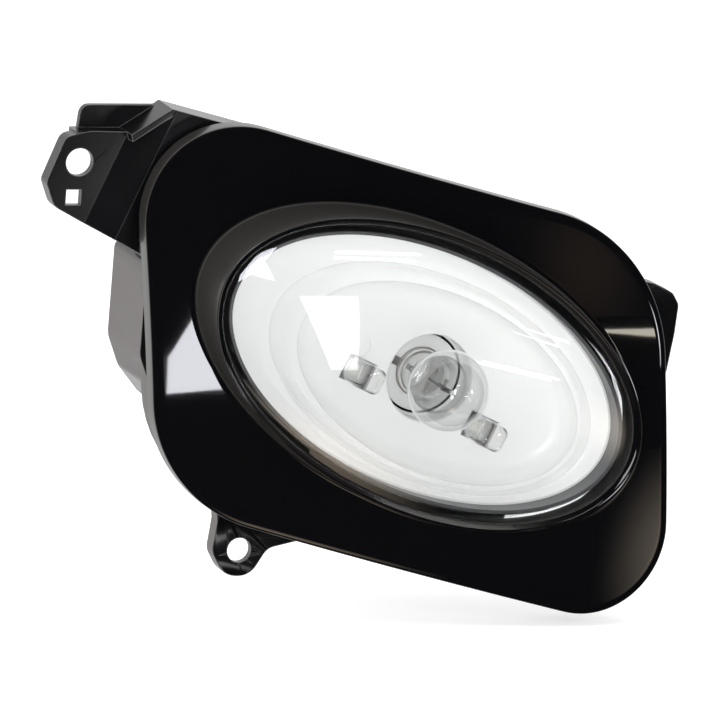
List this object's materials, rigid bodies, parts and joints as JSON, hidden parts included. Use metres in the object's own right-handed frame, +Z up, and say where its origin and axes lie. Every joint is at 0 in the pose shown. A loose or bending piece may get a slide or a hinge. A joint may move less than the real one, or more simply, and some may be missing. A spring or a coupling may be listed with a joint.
{
  "type": "daytime running light",
  "caption": "Car front lamp with a gloss bezel, oval clear lens, white stepped reflector, round bulb, two light blocks, sealed housing and a carrier with fixing tabs.",
  "frame": {"origin": "centre of the upper tab's screw hole, on the tab's front face", "axes": "-Y is the way the lamp shines and the way the upper screw leaves, +X is to the right seen from the front, +Z is up"},
  "size_m": [0.1983, 0.0771, 0.1478],
  "materials": {
    "bezel_gloss": "piano black, polished",
    "clear_lens": "clear moulded plastic, polished",
    "seal_rubber": "matte",
    "shroud_grey": "satin dark grey",
    "reflector_white": "white, soft gloss",
    "clear_block": "clear moulded",
    "chip": "pale light chip",
    "board": "white board",
    "screw_steel": "zinc plated",
    "bulb_glass": "clear",
    "filament": "grey wire",
    "cap_nickel": "nickel plated",
    "holder_grey": "satin light grey",
    "housing_plastic": "satin black",
    "pin_metal": "tinned",
    "carrier_plastic": "satin black"
  },
  "bodies": {
    "root": {"bezel": "bezel_gloss", "cover_lens": "clear_lens", "lens_seal": "seal_rubber", "inner_shroud": "shroud_grey", "reflector": "reflector_white", "light_block_left": "clear_block", "light_block_right": "clear_block", "light_chip_left": "chip", "light_chip_right": "chip", "circuit_board": "board", "board_screws": "screw_steel", "bulb_glass": "bulb_glass", "bulb_filament": "filament", "bulb_cap": "cap_nickel", "bulb_contact": "screw_steel", "bulb_holder": "holder_grey", "holder_terminals": "cap_nickel", "holder_seal": "seal_rubber", "rear_housing": "housing_plastic", "connector_pins": "pin_metal", "vent_cap": "seal_rubber", "mounting_carrier": "carrier_plastic", "housing_screws": "screw_steel", "bezel_screws": "screw_steel"}
  },
  "joints": []
}
